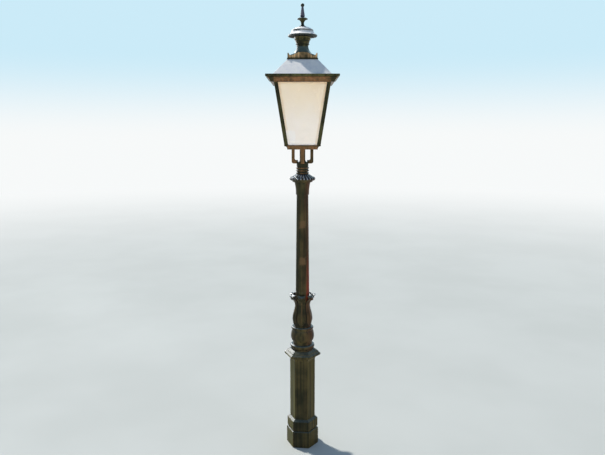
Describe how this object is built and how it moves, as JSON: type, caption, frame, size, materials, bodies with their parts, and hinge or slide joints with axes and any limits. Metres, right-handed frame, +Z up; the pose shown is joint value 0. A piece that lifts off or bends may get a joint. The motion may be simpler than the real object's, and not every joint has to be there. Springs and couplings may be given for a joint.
{
  "type": "garden lamp",
  "caption": "Free-standing garden lamp: hexagonal cast pedestal, leafed baluster, fluted tapering shaft and a square opal-paned lantern whose canopy hinges open.",
  "frame": {"origin": "centre of the anchor hole circle on the underside of the pedestal", "axes": "+Z up along the post, -Y towards the front pane, hinges of the canopy at +Y"},
  "size_m": [0.382, 0.3905, 2.5017],
  "materials": {
    "casting_paint": "semi-gloss bronze-black paint",
    "roof_zinc": "weathered pale grey",
    "opal_pane": "opal",
    "fixings": "zinc plated",
    "hinge_brass": "tarnished",
    "insulator": "moulded",
    "holder_ceramic": "plain",
    "bulb_glass": "frosted"
  },
  "bodies": {
    "post": {"base_pedestal": "casting_paint", "service_door": "casting_paint", "baluster": "casting_paint", "post_shaft": "casting_paint", "capital": "casting_paint", "lantern_cradle": "casting_paint", "supply_tube": "casting_paint", "lantern_base": "casting_paint", "corner_post_front_left": "casting_paint", "corner_post_front_right": "casting_paint", "corner_post_rear_left": "casting_paint", "corner_post_rear_right": "casting_paint", "eave_frame": "casting_paint", "pane_front": "opal_pane", "pane_right": "opal_pane", "pane_rear": "opal_pane", "pane_left": "opal_pane", "service_door_screws": "fixings", "terminal_board_screws": "fixings", "cradle_set_screws": "fixings", "cradle_bolts": "fixings", "supply_locknut": "fixings", "hinge_fixed_screws": "fixings", "hinge_fixed_leaf_left": "hinge_brass", "hinge_fixed_leaf_right": "hinge_brass", "hinge_pin_left": "hinge_brass", "hinge_pin_right": "hinge_brass", "terminal_board": "insulator", "terminal_block": "insulator", "lampholder": "holder_ceramic", "bulb": "bulb_glass"},
    "canopy": {"canopy_lip": "casting_paint", "roof": "roof_zinc", "gallery": "casting_paint", "chimney": "casting_paint", "cap_spacer": "fixings", "chimney_cap": "casting_paint", "finial_stud": "fixings", "finial": "casting_paint", "hinge_moving_leaf_left": "hinge_brass", "hinge_moving_leaf_right": "hinge_brass", "hinge_moving_screws": "fixings"}
  },
  "joints": [
    {"name": "canopy_hinge", "type": "hinge", "parent": "post", "child": "canopy", "pos_m": [0, 0.1955, 2.1119], "axis": [-1, 0, 0], "range_deg": [0, 100]}
  ]
}
